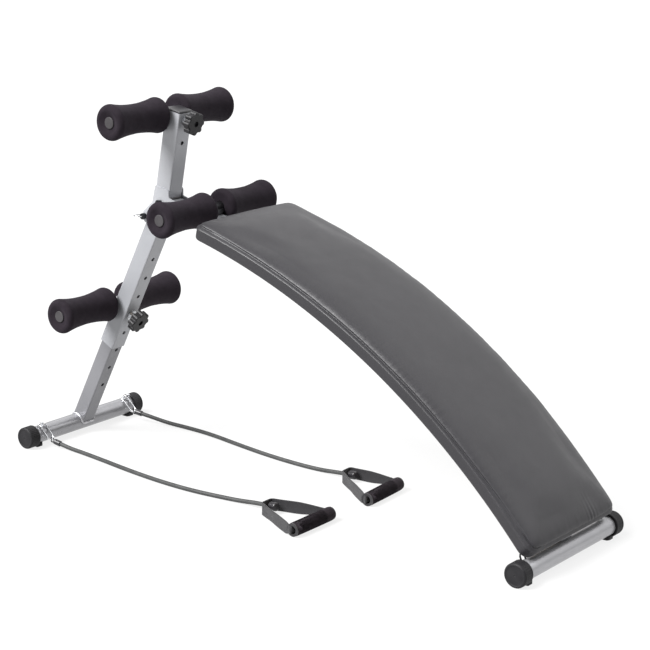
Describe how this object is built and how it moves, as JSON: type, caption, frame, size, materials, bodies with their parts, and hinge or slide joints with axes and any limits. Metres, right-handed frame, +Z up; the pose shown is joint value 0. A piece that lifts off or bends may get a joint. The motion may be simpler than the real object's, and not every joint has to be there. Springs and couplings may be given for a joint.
{
  "type": "decline sit up bench",
  "caption": "Curved decline sit up bench on an arched square rail, with a folding height-adjustable leg, foam leg rollers and clip-on rubber tube bands with grips.",
  "frame": {"origin": "on the floor, midway between the axes of the two foot bars, in the bench's middle plane", "axes": "+X from the leg end towards the low end, +Y to the left when facing +X, +Z up"},
  "size_m": [1.3289, 0.401, 0.785],
  "materials": {
    "post_paint": "silver grey powder coat",
    "foot_paint": "gun-metal grey paint",
    "bar_paint": "light silver grey paint",
    "black_steel": "black oxide",
    "zinc": "bright zinc plate",
    "chrome_wire": "polished chrome wire",
    "black_wire": "black coated wire",
    "cap_rubber": "ribbed moulded rubber",
    "knob_plastic": "grained dark grey nylon",
    "cap_plastic": "moulded black plastic",
    "plug_plastic": "satin grey moulded plastic",
    "roller_foam": "black closed cell foam",
    "grip_foam": "black closed cell foam",
    "band_rubber": "matt latex tube",
    "strap_web": "woven black webbing",
    "pad_leather": "charcoal grained leatherette",
    "board_wood": "birch plywood"
  },
  "bodies": {
    "main_frame": {"rail": "post_paint", "upper_post": "post_paint", "upper_post_cap": "cap_plastic", "pivot_plates": "post_paint", "pivot_bolt": "black_steel", "pivot_nut": "black_steel", "front_foot_bar": "bar_paint", "front_cap_right": "cap_rubber", "front_cap_left": "cap_rubber", "front_eye_right": "black_wire", "front_eye_left": "black_wire", "pad_board": "board_wood", "pad_cushion": "pad_leather", "pad_bolts": "zinc", "pad_tee_nuts": "zinc", "middle_axle_saddle": "zinc", "middle_axle": "zinc", "middle_axle_plugs": "plug_plastic", "upper_axle": "zinc", "upper_axle_plugs": "plug_plastic"},
    "leg_sleeve": {"leg_sleeve": "post_paint", "lower_axle": "zinc", "lower_axle_plugs": "plug_plastic"},
    "leg_post": {"inner_post": "post_paint", "foot_weld": "foot_paint", "rear_foot_bar": "foot_paint", "rear_cap_right": "cap_rubber", "rear_cap_left": "cap_rubber", "rear_eye_right": "chrome_wire", "rear_eye_left": "chrome_wire"},
    "lock_pin": {"lock_pin": "black_steel", "lock_pin_ring": "chrome_wire"},
    "upper_roller_right": {"upper_roller_right": "roller_foam"},
    "upper_roller_left": {"upper_roller_left": "roller_foam"},
    "middle_roller_right": {"middle_roller_right": "roller_foam"},
    "middle_roller_left": {"middle_roller_left": "roller_foam"},
    "lower_roller_right": {"lower_roller_right": "roller_foam"},
    "lower_roller_left": {"lower_roller_left": "roller_foam"},
    "upper_knob": {"upper_knob": "knob_plastic", "upper_knob_stud": "zinc", "upper_knob_washer": "zinc"},
    "lower_knob": {"lower_knob": "knob_plastic", "lower_knob_stud": "zinc", "lower_knob_washer": "zinc"},
    "right_band": {"snap_hook_right": "chrome_wire", "ferrule_right": "cap_plastic", "band_right": "band_rubber", "band_stopper_right": "cap_plastic", "strap_right": "strap_web", "grip_core_right": "cap_plastic", "grip_right": "grip_foam"},
    "left_band": {"snap_hook_left": "chrome_wire", "ferrule_left": "cap_plastic", "band_left": "band_rubber", "band_stopper_left": "cap_plastic", "strap_left": "strap_web", "grip_core_left": "cap_plastic", "grip_left": "grip_foam"},
    "hook_gate_right": {"hook_gate_right": "chrome_wire"},
    "hook_gate_left": {"hook_gate_left": "chrome_wire"}
  },
  "joints": [
    {"name": "leg_fold", "type": "hinge", "parent": "main_frame", "child": "leg_sleeve", "pos_m": [-0.35902, 0, 0.558], "axis": [0, -1, 0], "range_deg": [0, 75], "deforming": ["band_right", "band_left"]},
    {"name": "leg_height", "type": "slide", "parent": "leg_sleeve", "child": "leg_post", "axis": [0.4617, 0, 0.887], "range_m": [-0.05, 0.15]},
    {"name": "lock_pin_pull", "type": "slide", "parent": "main_frame", "child": "lock_pin", "axis": [0, -1, 0], "range_m": [0, 0.06]},
    {"name": "upper_roller_right_spin", "type": "hinge", "parent": "main_frame", "child": "upper_roller_right", "pos_m": [-0.35377, 0, 0.74748], "axis": [0, 1, 0], "continuous": true},
    {"name": "upper_roller_left_spin", "type": "hinge", "parent": "main_frame", "child": "upper_roller_left", "pos_m": [-0.35377, 0, 0.74748], "axis": [0, 1, 0], "continuous": true},
    {"name": "middle_roller_right_spin", "type": "hinge", "parent": "main_frame", "child": "middle_roller_right", "pos_m": [-0.22955, 0, 0.56144], "axis": [0, 1, 0], "continuous": true},
    {"name": "middle_roller_left_spin", "type": "hinge", "parent": "main_frame", "child": "middle_roller_left", "pos_m": [-0.22955, 0, 0.56144], "axis": [0, 1, 0], "continuous": true},
    {"name": "lower_roller_right_spin", "type": "hinge", "parent": "leg_sleeve", "child": "lower_roller_right", "pos_m": [-0.51832, 0, 0.31847], "axis": [0, 1, 0], "continuous": true},
    {"name": "lower_roller_left_spin", "type": "hinge", "parent": "leg_sleeve", "child": "lower_roller_left", "pos_m": [-0.51832, 0, 0.31847], "axis": [0, 1, 0], "continuous": true},
    {"name": "upper_knob_turn", "type": "hinge", "parent": "main_frame", "child": "upper_knob", "pos_m": [-0.29389, 0, 0.73584], "axis": [0.9816, 0, -0.1908], "continuous": true},
    {"name": "lower_knob_turn", "type": "hinge", "parent": "leg_sleeve", "child": "lower_knob", "pos_m": [-0.46448, 0, 0.29044], "axis": [0.887, 0, -0.4617], "continuous": true},
    {"name": "right_band_follow", "type": "slide", "parent": "main_frame", "child": "right_band", "axis": [0.4617, 0, 0.887], "range_m": [-0.05, 0.15]},
    {"name": "left_band_follow", "type": "slide", "parent": "main_frame", "child": "left_band", "axis": [0.4617, 0, 0.887], "range_m": [-0.05, 0.15]},
    {"name": "hook_gate_right_open", "type": "hinge", "parent": "right_band", "child": "hook_gate_right", "pos_m": [-0.60679, -0.121, 0.02353], "axis": [0.7193, 0, 0.6947], "range_deg": [0, 18], "stiffness_Nm_per_rad": 0.02, "springref_deg": -5.73},
    {"name": "hook_gate_left_open", "type": "hinge", "parent": "left_band", "child": "hook_gate_left", "pos_m": [-0.60494, 0.121, 0.02503], "axis": [-0.6428, 0, -0.766], "range_deg": [0, 18], "stiffness_Nm_per_rad": 0.02, "springref_deg": -5.73}
  ],
  "couplings": [
    {"joint": "right_band_follow", "follows": "leg_height", "ratio": 1},
    {"joint": "left_band_follow", "follows": "leg_height", "ratio": 1}
  ]
}
